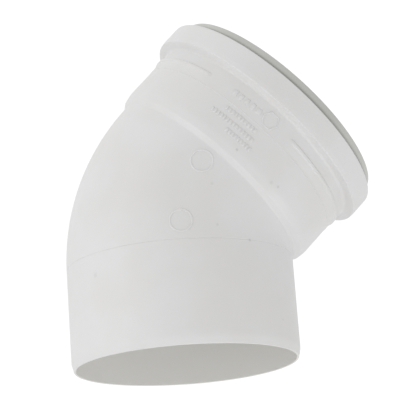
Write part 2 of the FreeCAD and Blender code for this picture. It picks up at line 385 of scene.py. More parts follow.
class Board:
    """A node tree, with short ways to add nodes and to wire them."""

    def __init__(self, name, kind, inputs, outputs):
        """Inputs and outputs are given as a default value, or as the word for their kind."""
        self.tree = bpy.data.node_groups.new(name, kind)
        for in_out, sockets in (("INPUT", inputs), ("OUTPUT", outputs)):
            for label, given in sockets.items():
                word = given if isinstance(given, str) else type(given).__name__.title()
                made = self.tree.interface.new_socket(
                    label, in_out=in_out, socket_type="NodeSocket" + word)
                if word != given:
                    made.default_value = given
        self.given = self.tree.nodes.new("NodeGroupInput")
        self.result = self.tree.nodes.new("NodeGroupOutput")

    def input(self, name):
        """One of the tree's own inputs."""
        return Value(self, self.given.outputs[name])

    def feed(self, socket, value):
        """Links a socket, or sets its value."""
        if isinstance(value, Value):
            self.tree.links.new(value.socket, socket)
        else:
            socket.default_value = value

    def finish(self, **results):
        """Links the tree's outputs."""
        for name, value in results.items():
            self.feed(self.result.inputs[name.title()], value)
        return self.tree

    def add(self, kind, feeds=None, **settings):
        """The first output of a new node with its settings and its inputs."""
        node = self.tree.nodes.new(kind)
        for name, value in settings.items():
            setattr(node, name, value)
        for name, value in (feeds or {}).items():
            self.feed(pick(node.inputs, name), value)
        return Value(self, node.outputs[0])

    def math(self, operation, *values, clamp=False):
        """A sum of one, two or three values."""
        return self.add(
            "ShaderNodeMath", dict(enumerate(values)), operation=operation, use_clamp=clamp)

    def vector(self, x, y, z):
        """A vector from its three values."""
        return self.add("ShaderNodeCombineXYZ", {"X": x, "Y": y, "Z": z})

    def split(self, vector):
        """The three values of a vector."""
        node = self.add("ShaderNodeSeparateXYZ", {"Vector": vector})
        return [node[axis] for axis in "XYZ"]

    def smooth(self, value, start, end, low=0.0, high=1.0):
        """A smooth rise from low at start to high at end."""
        return self.add("ShaderNodeMapRange", {
            "Value": value, "From Min": start, "From Max": end, "To Min": low, "To Max": high,
        }, interpolation_type="SMOOTHSTEP")

    def group(self, tree, feeds):
        """Another tree, placed in this one as a node."""
        return self.add(tree.bl_idname.replace("NodeTree", "NodeGroup"), feeds, node_tree=tree)


BEND_INPUTS = {"Bend Start": 0.0454, "Bend Radius": 0.0536, "Bend Angle": 0.7854}
WALL_INPUTS = {"Wall Radius": 0.0536}
LINE_INPUTS = {"Line Radius": 0.0052, "Line Width": 0.0007, "Line Height": 0.0002, "Line Sides": 96}


class PieceBoard(Board):
    """The tree of a piece, which turns a seed into the piece."""

    def __init__(self, name, inputs):
        super().__init__(name, "GeometryNodeTree", {
            "Geometry": "Geometry", **BEND_INPUTS, **inputs, "Finish": "Material",
        }, {"Geometry": "Geometry"})

    def attribute(self, name):
        """A named attribute of the geometry."""
        node = self.add("GeometryNodeInputNamedAttribute", {"Name": name}, data_type="FLOAT")
        return node["Attribute"]

    def position(self):
        """Where each point is."""
        return self.add("GeometryNodeInputPosition")

    def place(self, geometry, position):
        """Moves each point to a position."""
        return self.add("GeometryNodeSetPosition", {"Geometry": geometry, "Position": position})

    def at_points(self, instance, **feeds):
        """One instance at each point of the seed."""
        return self.add("GeometryNodeInstanceOnPoints", {
            "Points": self.input("Geometry"), "Instance": instance, **feeds})

    def real(self, geometry):
        """Instances made real."""
        return self.add("GeometryNodeRealizeInstances", {"Geometry": geometry})

    def raised_line(self):
        """A closed raised line round a point: flat in X and Y, and standing out along Z."""
        path = self.add("GeometryNodeCurvePrimitiveCircle", {
            "Resolution": self.input("Line Sides"), "Radius": self.input("Line Radius")})
        profile = self.add("GeometryNodeCurvePrimitiveCircle", {
            "Resolution": LINE_PROFILE_SIDES, "Radius": 1.0})
        x, y = self.split(self.position())[:2]
        wide = x * (self.input("Line Width") * 0.5)
        shaped = self.place(profile, self.vector(wide, y * self.input("Line Height"), 0.0))
        return self.add("GeometryNodeCurveToMesh", {"Curve": path, "Profile Curve": shaped})

    def finish_piece(self, geometry):
        """Ends the tree with smooth faces, real geometry and its material."""
        smooth = self.add("GeometryNodeSetShadeSmooth", {"Geometry": geometry})
        return self.finish(geometry=self.add("GeometryNodeSetMaterial", {
            "Geometry": self.real(smooth), "Material": self.input("Finish")}))

    def finish_bent(self, bend, geometry, straight, feeds=None):
        """Bends what was made straight, and ends the tree."""
        values = {name: self.input(name) for name in BEND_INPUTS}
        bent = self.group(bend, {"Straight": straight, **values, **(feeds or {})})
        return self.finish_piece(self.place(geometry, bent))

    def finish_wrapped(self, bend, wrap, geometry, flat):
        """Wraps what was made flat round the wall, bends it, and ends the tree."""
        wrapped = self.group(wrap, {"Flat": flat, "Wall Radius": self.input("Wall Radius")})
        return self.finish_bent(bend, geometry, wrapped)


def bend_rule():
    """Bends a shape made straight along Z: straight, then round the bend, then straight on."""
    board = Board("Bend Rule", "GeometryNodeTree", {
        "Straight": "Vector", **BEND_INPUTS, "Socket Side": 0.0, "Set Back": 0.0,
    }, {"Bent": "Vector"})
    across, sideways, along = board.split(board.input("Straight"))
    start, radius, full = (board.input(name) for name in BEND_INPUTS)
    side = board.input("Socket Side")
    arc = radius * full
    beyond_start = along - start
    turned = (board.math("DIVIDE", beyond_start, arc, clamp=True)
        * (full - board.input("Set Back")))
    turned = side * (full - turned) + turned
    past = board.math("MAXIMUM", beyond_start - arc, -side)
    reach = radius - across
    sine = board.math("SINE", turned)
    cosine = board.math("COSINE", turned)
    x = past * sine + (radius - reach * cosine)
    z = past * cosine + (reach * sine + board.math("MINIMUM", along, start))
    return board.finish(bent=board.vector(x, sideways, z))


def wrap_rule():
    """Wraps a flat shape round a wall: X goes round, Y goes along and Z stands out."""
    board = Board("Wrap Rule", "GeometryNodeTree", {"Flat": "Vector", **WALL_INPUTS},
        {"Wrapped": "Vector"})
    around, along, out = board.split(board.input("Flat"))
    radius = board.input("Wall Radius")
    turn = around / radius
    distance = radius + out
    x = distance * board.math("SINE", turn)
    y = distance * board.math("COSINE", turn)
    return board.finish(wrapped=board.vector(x, -y, along))


def turned_wall(bend):
    """Turns a closed wall section round the pipe's axis and bends it."""
    board = PieceBoard("Turned Wall", {
        "Segments": 320, "Foot Drop": 0.0017, "Foot Ease": 0.00072,
        "Rib Gap": 0.45, "Rib Fade": 0.015, "Rib Turn": 0.0})
    section = board.add("GeometryNodeMeshToCurve", {"Mesh": board.input("Geometry")})
    circle = board.add("GeometryNodeCurvePrimitiveCircle", {
        "Resolution": board.input("Segments"), "Radius": 1.0})
    marked = board.add("GeometryNodeStoreNamedAttribute", {
        "Geometry": circle, "Name": "turn", "Value": board.add("GeometryNodeSplineParameter")["Factor"],
    }, data_type="FLOAT", domain="POINT")
    swept = board.add("GeometryNodeCurveToMesh", {"Curve": marked, "Profile Curve": section})
    turn = board.attribute("turn") * FULL_TURN
    gap = board.input("Rib Gap")
    fade = board.input("Rib Fade")
    from_gap = board.math("SINE", turn - board.input("Rib Turn"))
    window = board.smooth(board.math("ABSOLUTE", from_gap),
        board.math("SINE", gap - fade), board.math("SINE", gap + fade))
    distance = board.attribute("swell") * window + board.attribute("wall")
    across = distance * board.math("SINE", turn)
    sideways = distance * board.math("COSINE", turn)
    straight = board.vector(across, -sideways, board.attribute("path"))
    reach = board.input("Bend Radius") - across
    opening = board.input("Foot Drop") / (reach + board.input("Foot Ease"))
    set_back = board.math("ARCSINE", opening) * board.attribute("trimmed")
    return board.finish_bent(bend, swept, straight, {
        "Socket Side": board.attribute("socket_side"), "Set Back": set_back})


def raised_bars(bend, wrap):
    """Low blank bars on the socket wall, one for each point, with tapered sides."""
    board = PieceBoard("Raised Bars", {
        **WALL_INPUTS, "Height": 0.0002, "Sunk": 0.0001, "Top Share": 0.72, "Spread": 0.25, "Seed": 7})
    block = board.add("GeometryNodeMeshCube", {
        "Size": (1.0, 1.0, 1.0), "Vertices X": 7, "Vertices Y": 3, "Vertices Z": 3})
    x, y, z = board.split(board.position())
    narrow = board.smooth(z, 0.0, 0.5, 1.0, board.input("Top Share"))
    shaped = board.place(block, board.vector(x * narrow, y * narrow, z))
    random = board.add("FunctionNodeRandomValue", {
        "Min_001": 1.0 - board.input("Spread"), "Max_001": 1.0, "Seed": board.input("Seed"),
    }, data_type="FLOAT")["Value_001"]
    width = board.attribute("bar_width") * random
    height = board.input("Height")
    sunk = board.input("Sunk")
    scale = board.vector(width, board.attribute("bar_depth"), height + sunk)
    bars = board.real(board.at_points(shaped, Scale=scale))
    x, y, z = board.split(board.position())
    return board.finish_wrapped(bend, wrap, bars, board.vector(x, y, z + (height - sunk) * 0.5))


def raised_outline(bend, wrap):
    """A raised outline with straight sides on the socket wall, one for each point."""
    board = PieceBoard("Raised Outline", {**WALL_INPUTS, **LINE_INPUTS})
    outline = board.real(board.at_points(board.raised_line()))
    return board.finish_wrapped(bend, wrap, outline, board.position())


def mould_circles():
    """Round raised lines on the front of the bend, some with a small nub at the top."""
    board = PieceBoard("Mould Circles", {**WALL_INPUTS, **LINE_INPUTS, "Nub Radius": 0.0006})
    lines = board.at_points(board.raised_line())
    ball = board.add("GeometryNodeMeshUVSphere", {
        "Segments": 20, "Rings": 12, "Radius": board.input("Nub Radius")})
    x, y, z = board.split(board.position())
    nub = board.place(ball, board.vector(
        x, y * NUB_STRETCH + board.input("Line Radius"), z * NUB_FLATNESS))
    nubs = board.at_points(nub, Selection=board.attribute("has_nub"))
    both = board.add("GeometryNodeJoinGeometry", {"Geometry": nubs})
    board.feed(both.socket.node.inputs[0], lines)
    x, z, out = board.split(board.position())
    radius = board.input("Bend Radius")
    from_centre = x - radius
    above = z - board.input("Bend Start")
    across = radius - board.math("SQRT", above * above + from_centre * from_centre)
    distance = board.input("Wall Radius") + out
    depth = board.math("SQRT", distance * distance - across * across)
    return board.finish_piece(board.place(board.real(both), board.vector(x, -depth, z)))


# Sections and seeds for the trees

def arc_points(before, corner, after, rounding):
    """Points on the arc that rounds a corner, with one support point on each side."""
    to_before = (before - corner).normalized()
    to_after = (after - corner).normalized()
    half = to_before.angle(to_after) / 2
    setback = rounding / math.tan(half)
    centre = corner + (to_before + to_after).normalized() * (rounding / math.sin(half))
    start = corner + to_before * setback
    end = corner + to_after * setback
    spoke = start - centre
    turn = spoke.angle_signed(end - centre)
    count = max(LEAST_ARC_STEPS, math.ceil(abs(turn) / ARC_STEP))
    points = []
    for index in range(count + 1):
        rotated = Vector(spoke)
        rotated.rotate(Matrix.Rotation(-turn * index / count, 2))
        points.append(centre + rotated)
    gap_before = min(SUPPORT_GAP, (before - start).length * SUPPORT_SHARE)
    gap_after = min(SUPPORT_GAP, (after - end).length * SUPPORT_SHARE)
    return [start + to_before * gap_before] + points + [end + to_after * gap_after]


def rounded_run(corners):
    """Points of a run of (path, wall, rounding) corners, with its two ends left as they are."""
    places = [Vector((path, wall)) for path, wall, rounding in corners]
    points = [places[0]]
    for index in range(1, len(corners) - 1):
        rounding = corners[index][2]
        if rounding:
            points += arc_points(places[index - 1], places[index], places[index + 1], rounding)
        else:
            points.append(places[index])
    return points + [places[-1]]


def split_in_bend(points, start, end, step):
    """Cuts the run's pieces that lie in the bend into short steps."""
    cut = [points[0]]
    for before, after in zip(points, points[1:]):
        middle = (before.x + after.x) / 2
        count = 1
        if start < middle < end:
            count = max(1, math.ceil((after - before).length / step))
        cut += [before.lerp(after, index / count) for index in range(1, count + 1)]
    return cut


def rows(start, end, step):
    """Evenly spaced values from start to end."""
    count = math.ceil((end - start) / step)
    return [start + (end - start) * index / count for index in range(count + 1)]


def ease(value):
    """A smooth rise from 0 to 1."""
    value = min(max(value, 0.0), 1.0)
    return value * value * (3 - 2 * value)


def rib_swell(socket, place):
    """Height of a rib at a place along the socket: a gentle rise, a step, a crest and a drop."""
    step = socket.rib_step_height
    rise = min(max((place - socket.rib_start) / (socket.rib_step - socket.rib_start), 0.0), 1.0)
    climb = ease((place - socket.rib_step) / (socket.rib_crest - socket.rib_step))
    drop = ease((place - socket.rib_end + RIB_EDGE / 2) / RIB_EDGE)
    return (step * rise + (socket.rib_height - step) * climb) * (1 - drop)


def seed_mesh(name, points, closed=False, **attributes):
    """A mesh of points, joined in a loop if closed, with one value of each attribute a point."""
    count = len(points)
    edges = [(index, (index + 1) % count) for index in range(count)] if closed else []
    mesh = bpy.data.meshes.new(name)
    mesh.from_pydata([tuple(point) for point in points], edges, [])
    for attribute, values in attributes.items():
        layer = mesh.attributes.new(attribute, "FLOAT", "POINT")
        layer.data.foreach_set("value", values)
    return mesh


def section_seed(name, rows_of_wall):
    """A closed wall section from rows of (path, wall, swell, socket side, trimmed)."""
    path, wall, swell, socket_side, trimmed = map(list, zip(*rows_of_wall))
    points = [(across, along, 0.0) for across, along in zip(wall, path)]
    return seed_mesh(name, points, closed=True, path=path, wall=wall, swell=swell,
        socket_side=socket_side, trimmed=trimmed)


def socket_origin(bend):
    """How far along the unbent pipe the socket's measures start."""
    return bend.spigot_length + bend.radius * bend.angle


def end_face_middle(bend):
    """Radius of the middle of the spigot's end face."""
    return (bend.pipe_radius - bend.lead_in_depth + bend.passage_radius) / 2


def spigot_and_bend(bend):
    """Outside of the spigot and of the bend, from the middle of the spigot's end face."""
    radius = bend.pipe_radius
    end = socket_origin(bend)
    points = rounded_run([
        (0, end_face_middle(bend), 0),
        (0, radius - bend.lead_in_depth, bend.tip_rounding),
        (bend.lead_in_length, radius, bend.lead_in_rounding),
        (bend.spigot_length - bend.witness_width, radius, EDGE_SOFTNESS),
        (bend.spigot_length - bend.witness_width / 2, radius - bend.witness_depth, EDGE_SOFTNESS),
        (bend.spigot_length, radius, EDGE_SOFTNESS),
        (end - ROOT_FILLET_START, radius, 0),
        (end, radius + ROOT_FILLET, 0),
    ])
    points = split_in_bend(points, bend.spigot_length, end, bend.radius * bend.row_angle)
    return [(point.x, point.y, 0.0, 0.0, 1.0) for point in points]


def socket_outside(bend, socket):
    """Outside of the socket, from just above the shoulder's foot to the middle of its rim."""
    wall = socket.wall_radius
    foot = socket.shoulder_foot
    slope = (socket.shoulder_top_radius - bend.pipe_radius) / (socket.shoulder_top - foot)
    line = socket.parting_line
    rib_rows = (rows(socket.rib_start, socket.rib_step - RIB_ROW_GAP, COARSE_ROW)
        + rows(socket.rib_step, socket.rib_end + RIB_EDGE, FINE_ROW))
    points = rounded_run([
        (foot + SHOULDER_FIRST_ROW, bend.pipe_radius + SHOULDER_FIRST_ROW * slope, 0),
        (socket.shoulder_top, socket.shoulder_top_radius, socket.shoulder_rounding),
        (socket.shoulder_eased, wall, EASED_ROUNDING),
        (line - socket.parting_rise, wall, LINE_SOFTNESS),
        (line, wall + socket.parting_height, LINE_SOFTNESS),
        (line + socket.parting_fall, wall, LINE_SOFTNESS),
        *[(place, wall, 0) for place in rib_rows],
        (socket.housing_foot, wall, socket.foot_rounding),
        (socket.crest, socket.crest_radius, socket.crest_rounding),
        (socket.housing_full, socket.housing_radius, FULL_ROUNDING),
        (socket.rim, socket.housing_radius, socket.rim_rounding),
        (socket.rim, (socket.housing_radius + socket.chamber_radius) / 2, 0),
    ])
    origin = socket_origin(bend)
    return [(origin + point.x, point.y, rib_swell(socket, point.x), 1.0, 0.0) for point in points]


def body_inside(bend, socket, seal):
    """Inside of the elbow, from the middle of the socket's rim to that of the spigot's end."""
    origin = socket_origin(bend)
    chamber = socket.chamber_radius
    snap = origin + seal.snap_place
    points = rounded_run([
        (origin + socket.rim, (socket.housing_radius + chamber) / 2, 0),
        (origin + socket.rim, chamber, CHAMBER_ROUNDING),
        (snap + seal.snap_half_width, chamber, BEAD_SOFTNESS),
        (snap, chamber + seal.snap_height, BEAD_SOFTNESS),
        (snap - seal.snap_half_width, chamber, BEAD_SOFTNESS),
        (origin + socket.flare_end, chamber, FLARE_END_ROUNDING),
        (origin + socket.flare_start, socket.bore_radius, FLARE_START_ROUNDING),
        (origin + socket.bore_start, socket.bore_radius, STOP_ROUNDING),
        (origin + socket.bore_start, bend.passage_radius, STOP_ROUNDING),
        (origin, bend.passage_radius, 0),
        (bend.spigot_length, bend.passage_radius, 0),
        (0, bend.passage_radius, bend.tip_rounding),
        (0, end_face_middle(bend), 0),
    ])
    points = split_in_bend(points, bend.spigot_length, origin, bend.radius * bend.row_angle)
    return [(point.x, point.y, 0.0, 0.0, 0.0) for point in points[:-1]]


def ring_section(bend, corners):
    """A closed section on the socket's axis, from (place, wall, rounding) corners."""
    origin = socket_origin(bend)
    count = len(corners)
    points = []
    for index in range(count):
        before, corner, after = (Vector(corners[(index + step) % count][:2]) for step in (-1, 0, 1))
        points += arc_points(before, corner, after, corners[index][2])
    return [(origin + point.x, point.y, 0.0, 1.0, 0.0) for point in points]


def retainer_section(bend, socket, seal):
    """Section of the seal retainer: a plug with a snap bead, and a sloping nose."""
    chamber = socket.chamber_radius
    floor = chamber + seal.crease_floor
    crease_share = seal.crease_width / (seal.nose_end - socket.rim)
    nose = seal.nose_start_radius + (seal.nose_end_radius - seal.nose_start_radius) * crease_share
    return ring_section(bend, [
        (seal.back, seal.inner_radius, BACK_ROUNDING),
        (seal.back, chamber, BACK_ROUNDING),
        (seal.snap_place - seal.snap_half_width, chamber, EDGE_SOFTNESS),
        (seal.snap_place, chamber + seal.snap_height, EDGE_SOFTNESS),
        (seal.snap_place + seal.snap_half_width, chamber, EDGE_SOFTNESS),
        (socket.rim, chamber, EDGE_SOFTNESS),
        (socket.rim, floor, EDGE_SOFTNESS),
        (socket.rim + seal.crease_width / 2, floor, CREASE_ROUNDING),
        (socket.rim + seal.crease_width, nose, CREASE_ROUNDING),
        (seal.nose_end, seal.nose_end_radius, NOSE_ROUNDING),
        (seal.nose_end, seal.mouth_radius, MOUTH_ROUNDING),
        (seal.mouth_start, seal.inner_radius, MOUTH_START_ROUNDING),
    ])


def seal_section(bend, socket, seal):
    """Section of the rubber seal: a heel against the chamber and two leaning lips."""
    heel = socket.chamber_radius - seal.clearance
    front = seal.back - seal.clearance
    lip = seal.lip_radius
    return ring_section(bend, [
        (front, heel, SEAL_ROUNDING),
        (front, SEAL_FRONT_RADIUS, SEAL_ROUNDING),
        *[(tip, lip, TIP_ROUNDING) for tip in FRONT_LIP_TIP],
        *[(root, LIP_ROOT_RADIUS, SEAL_ROUNDING) for root in LIP_ROOT],
        *[(tip, lip, TIP_ROUNDING) for tip in BACK_LIP_TIP],
        (BACK_LIP_ROOT, BACK_LIP_ROOT_RADIUS, SEAL_ROUNDING),
        (SEAL_BACK, SEAL_BACK_RADIUS, TIP_ROUNDING),
        (SEAL_BACK, heel, SEAL_ROUNDING),
    ])


# Materials

def skin_group():
    """Mould grain and slow cloudiness: a bump height, a roughness and a share of the shade."""
    board = Board("Moulded Skin", "ShaderNodeTree", {
        "Place": "Vector", "Grain Size": 0.0009, "Ripple Size": 0.009, "Cloud Size": 0.035,
        "Roughness": 0.42, "Roughness Spread": 0.07,
    }, {"Height": "Float", "Roughness": "Float", "Cloud": "Float"})

    def noise(size, detail, rough):
        """Noise with lumps of about one size."""
        return board.add("ShaderNodeTexNoise", {
            "Vector": board.input("Place"), "Scale": 1.0 / board.input(size), "Detail": detail,
            "Roughness": rough})["Fac"]

    grain = noise("Grain Size", detail=2.0, rough=0.55)
    ripple = noise("Ripple Size", detail=2.0, rough=0.5)
    cloud = noise("Cloud Size", detail=3.0, rough=0.55)
    change = (ripple - 0.5) * board.input("Roughness Spread")
    return board.finish(
        height=ripple * RIPPLE_HEIGHT + grain, roughness=board.input("Roughness") + change,
        cloud=board.smooth(cloud, *CLOUD_RANGE))


def wear_group():
    """Stray specks and fine scratches, as two masks."""
    board = Board("Handling Wear", "ShaderNodeTree", {
        "Place": "Vector", "Speck Spacing": 0.011, "Speck Size": 0.045, "Speck Share": 0.12,
        "Scratch Length": 0.012,
    }, {"Speck": "Float", "Scratch": "Float"})
    place = board.input("Place")
    cells = board.add("ShaderNodeTexVoronoi", {
        "Vector": place, "Scale": 1.0 / board.input("Speck Spacing")})
    chosen = board.split(cells["Color"])[0]
    kept = board.math("LESS_THAN", chosen, board.input("Speck Share"))
    size = board.input("Speck Size")
    dot = board.smooth(cells["Distance"], size * SPECK_CORE, size, 1.0, 0.0)
    stretched = board.add("ShaderNodeMapping", {
        "Vector": place, "Rotation": SCRATCH_TURN, "Scale": SCRATCH_STRETCH})
    streak = board.add("ShaderNodeTexNoise", {
        "Vector": stretched, "Scale": 1.0 / board.input("Scratch Length"),
        "Detail": 2.0, "Roughness": 0.6})["Fac"]
    patch = board.add("ShaderNodeTexNoise", {"Vector": place, "Scale": 38.0, "Detail": 1.0})["Fac"]
    scratch = board.smooth(streak, *STREAK_RANGE) * board.smooth(patch, *PATCH_RANGE)
    return board.finish(speck=kept * dot, scratch=scratch)


def spot_group():
    """One small mark at a chosen place, as a mask."""
    board = Board("Small Spot", "ShaderNodeTree", {
        "Place": "Vector", "Centre": "Vector", "Size": 0.0008, "Depth": 0.5,
    }, {"Mask": "Float"})
    gap = board.add("ShaderNodeVectorMath", {0: board.input("Place"), 1: board.input("Centre")},
        operation="DISTANCE")["Value"]
    size = board.input("Size")
    return board.finish(mask=board.smooth(gap, size * SPOT_CORE, size, 1.0, 0.0) * board.input("Depth"))


def band_group():
    """A mask that is 1 below one value and fades to 0 at another; 0 where nothing is measured."""
    board = Board("Fading Band", "ShaderNodeTree", {
        "Measure": 0.0, "Full": 0.049, "Gone": 0.05,
    }, {"Mask": "Float"})
    measure = board.input("Measure")
    fade = board.smooth(measure, board.input("Full"), board.input("Gone"), 1.0, 0.0)
    return board.finish(mask=fade * board.math("GREATER_THAN", measure, 0.0))


class Paint(Board):
    """The nodes of a material or of the world."""

    def __init__(self, owner, **constants):
        owner.use_nodes = True
        self.owner = owner
        self.tree = owner.node_tree
        self.shader = self.node("BSDF_PRINCIPLED", "BACKGROUND")
        for socket, value in constants.items():
            self.shader.inputs[socket.replace("_", " ")].default_value = value

    def node(self, *kinds):
        """The node that the tree starts with of one of these kinds."""
        return next(node for node in self.tree.nodes if node.type in kinds)

    def coordinate(self, name):
        """A texture coordinate."""
        return self.add("ShaderNodeTexCoord")[name]

    def mix(self, factor, *colours):
        """A colour between two colours."""
        first, second = (given if isinstance(given, Value) else (*given, 1.0) for given in colours)
        return self.add("ShaderNodeMix", {"Factor_Float": factor, "A_Color": first, "B_Color": second},
            data_type="RGBA")["Result_Color"]

    def dress(self, colour, rough, height, bump):
        """Feeds the shader's colour, its roughness and its normal."""
        normal = self.add("ShaderNodeBump", {
            "Height": height, "Strength": bump, "Distance": BUMP_DISTANCE})
        for name, value in (("Base Color", colour), ("Roughness", rough), ("Normal", normal)):
            self.feed(self.shader.inputs[name], value)


def plastic(name, first, second, finish, groups, ends, painted_shade_tint, spots=()):
    """A moulded white plastic with two tones, and a painted shade colour that fades over a band of an
    attribute.
    """
    paint = Paint(bpy.data.materials.new(name), IOR=1.52, Specular_IOR_Level=0.5)
    place = paint.coordinate("Object")
    skin = paint.group(groups["skin"], {"Place": place, "Roughness": finish.roughness})
    wear = paint.group(groups["wear"], {"Place": place})
    scratch = wear["Scratch"]
    dirt = wear["Speck"] * SPECK_DEPTH
    for centre, size, depth in spots:
        dirt = paint.math("MAXIMUM", dirt, paint.group(groups["spot"], {
            "Place": place, "Centre": centre, "Size": size, "Depth": depth}))
    attribute, full, gone = ends
    measured = paint.add("ShaderNodeAttribute", attribute_name=attribute)["Fac"]
    band = paint.group(groups["band"], {"Measure": measured, "Full": full, "Gone": gone})
    # Painted shade: darkens the plastic where the band is full
    clean = paint.mix(band, paint.mix(skin["Cloud"], first, second), painted_shade_tint)
    paint.dress(paint.mix(scratch * SCRATCH_DIRT + dirt, clean, finish.dirt_colour),
        scratch * SCRATCH_ROUGHNESS + skin["Roughness"],
        scratch * SCRATCH_HEIGHT + skin["Height"], PLASTIC_BUMP)
    return paint.owner


def rubber(name, finish, groups):
    """Black rubber with a little dust in its grain."""
    paint = Paint(bpy.data.materials.new(name), IOR=1.5, Specular_IOR_Level=0.4)
    place = paint.coordinate("Object")
    skin = paint.group(groups["skin"], {
        "Place": place, "Grain Size": 0.0006, "Ripple Size": 0.004, "Cloud Size": 0.014,
        "Roughness": finish.rubber_roughness, "Roughness Spread": 0.2})
    wear = paint.group(groups["wear"], {
        "Place": place, "Speck Spacing": 0.004, "Speck Size": 0.09, "Speck Share": 0.4})
    dust = paint.math("MULTIPLY_ADD", skin["Cloud"], CLOUD_DUST, wear["Speck"] * SPECK_DUST, clamp=True)
    paint.dress(paint.mix(dust, finish.rubber_colour, finish.dust_colour),
        skin["Roughness"], skin["Height"], RUBBER_BUMP)
    return paint.owner


# Making pieces

def point_on_wall(bend, path, turn, radius):
    """A point on the bent pipe, turn being measured from the front towards the inner side."""
    along = min(path, bend.spigot_length)
    bent = min(max((path - bend.spigot_length) / bend.radius, 0.0), bend.angle)
    past = max(path - socket_origin(bend), 0.0)
    reach = bend.radius - radius * math.sin(turn)
    return Vector((bend.radius - reach * math.cos(bent) + past * math.sin(bent),
            -radius * math.cos(turn),
            along + reach * math.sin(bent) + past * math.cos(bent)))


def grow(name, seed, tree, values):
    """Runs a tree on a seed mesh, and keeps the result as a plain mesh in a new object."""
    piece = bpy.data.objects.new(name, seed)
    bpy.context.scene.collection.objects.link(piece)
    modifier = piece.modifiers.new(tree.name, "NODES")
    modifier.node_group = tree
    for item in tree.interface.items_tree:
        if item.item_type == "SOCKET" and item.in_out == "INPUT" and item.name in values:
            modifier[item.identifier] = values[item.name]
    depsgraph = bpy.context.evaluated_depsgraph_get()
    grown = bpy.data.meshes.new_from_object(piece.evaluated_get(depsgraph), depsgraph=depsgraph)
    piece.modifiers.remove(modifier)
    piece.data = grown
    grown.name = name
    bpy.data.meshes.remove(seed)
    turned = bmesh.new()
    turned.from_mesh(grown)
    bmesh.ops.recalc_face_normals(turned, faces=turned.faces)
    turned.to_mesh(grown)
    turned.free()
    if not grown.polygons:
        raise RuntimeError(name + " came out empty")
    return piece


def bend_settings(bend):
    """The bend inputs of a tree."""
    return {"Bend Start": bend.spigot_length, "Bend Radius": bend.radius,
        "Bend Angle": bend.angle}


def tree_named(name, build, *arguments):
    """A node tree, built the first time that it is asked for."""
    return bpy.data.node_groups.get(name) or build(*arguments)


def shape_trees():
    """The trees that bend, wrap and turn."""
    bend = tree_named("Bend Rule", bend_rule)
    return bend, tree_named("Wrap Rule", wrap_rule), tree_named("Turned Wall", turned_wall, bend)


def paint_groups():
    """The shared effects of the materials."""
    return {"skin": tree_named("Moulded Skin", skin_group),
        "wear": tree_named("Handling Wear", wear_group),
        "spot": tree_named("Small Spot", spot_group),
        "band": tree_named("Fading Band", band_group)}


def body_spots(bend, socket):
    """Small marks on the front: (centre, size, depth)."""
    found = []
    for on_socket, place, turn, size, depth in SPOTS:
        path = place * MM + (socket_origin(bend) if on_socket else 0)
        radius = socket.wall_radius if on_socket else bend.pipe_radius
        found.append((point_on_wall(bend, path, math.radians(turn), radius), size * MM, depth))
    return found


def body_material(settings):
    """White plastic of the elbow, shared by all the pieces moulded with it."""
    made = bpy.data.materials.get("White Plastic")
    if made:
        return made
    finish = settings.finish
    bend = settings.bend
    # Painted shade inside the passage, fading out just beyond its wall
    inside = ("wall", *(bend.passage_radius + fade for fade in INSIDE_FADE))
    return plastic("White Plastic", finish.body_colour, finish.body_shade, finish, paint_groups(),
        inside, finish.inside_colour, body_spots(bend, settings.socket))


def mount(piece, slot, *nodes):
    """Fixes a piece to the elbow, in place of the CAD nodes it stands for."""
    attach(piece, "root")
    if nodes:
        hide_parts(*nodes)


class ELBOW_OT_moulding(bpy.types.Operator):
    """Builds the moulded elbow: spigot, bend, socket and seal housing"""
    bl_idname = "elbow.moulding"
    bl_label = "Elbow Moulding"

    def execute(self, context):
        settings = context.scene.elbow
        bend = settings.bend
        socket = settings.socket
        section = (spigot_and_bend(bend) + socket_outside(bend, socket)
            + body_inside(bend, socket, settings.seal)[1:])
        piece = grow("Elbow_Moulding", section_seed("Wall Section", section[:-1]), shape_trees()[2], {
            **bend_settings(bend), "Segments": bend.segments,
            "Foot Drop": -socket.shoulder_foot, "Foot Ease": -FOOT_EASE_SHARE * socket.shoulder_foot,
            "Rib Gap": socket.rib_gap,
            "Rib Fade": socket.rib_fade, "Rib Turn": socket.rib_turn,
            "Finish": body_material(settings)})
        mount(piece, "white_pvc", "elbow_body")
        return {"FINISHED"}


class ELBOW_OT_seal(bpy.types.Operator):
    """Builds the seal retainer and the rubber seal"""
    bl_idname = "elbow.seal"
    bl_label = "Seal and Retainer"

    def execute(self, context):
        settings = context.scene.elbow
        bend = settings.bend
        finish = settings.finish
        rim = socket_origin(bend) + settings.socket.rim
        # Painted shade in the crease behind the retainer's nose: full up to the housing's rim, fading out
        # beyond it
        crease = ("path", rim, rim + CREASE_FADE * settings.seal.crease_width)
        parts = (
            # The retainer's colours hold painted shade, and its crease gets more painted shade
            ("Seal_Retainer", retainer_section, "retainer_pvc", "seal_retainer",
             plastic("Retainer Plastic", finish.retainer_colour, finish.retainer_shade, finish,
                    paint_groups(), crease, finish.crease_colour)),
            ("Lip_Seal", seal_section, "seal_rubber", "seal_ring",
             rubber("Seal Rubber", finish, paint_groups())),
        )
        for name, section, slot, node, material in parts:
            rows_of_wall = section(bend, settings.socket, settings.seal)
            piece = grow(name, section_seed(name + " Section", rows_of_wall), shape_trees()[2], {
                **bend_settings(bend), "Segments": bend.segments, "Finish": material})
            mount(piece, slot, node)
        return {"FINISHED"}


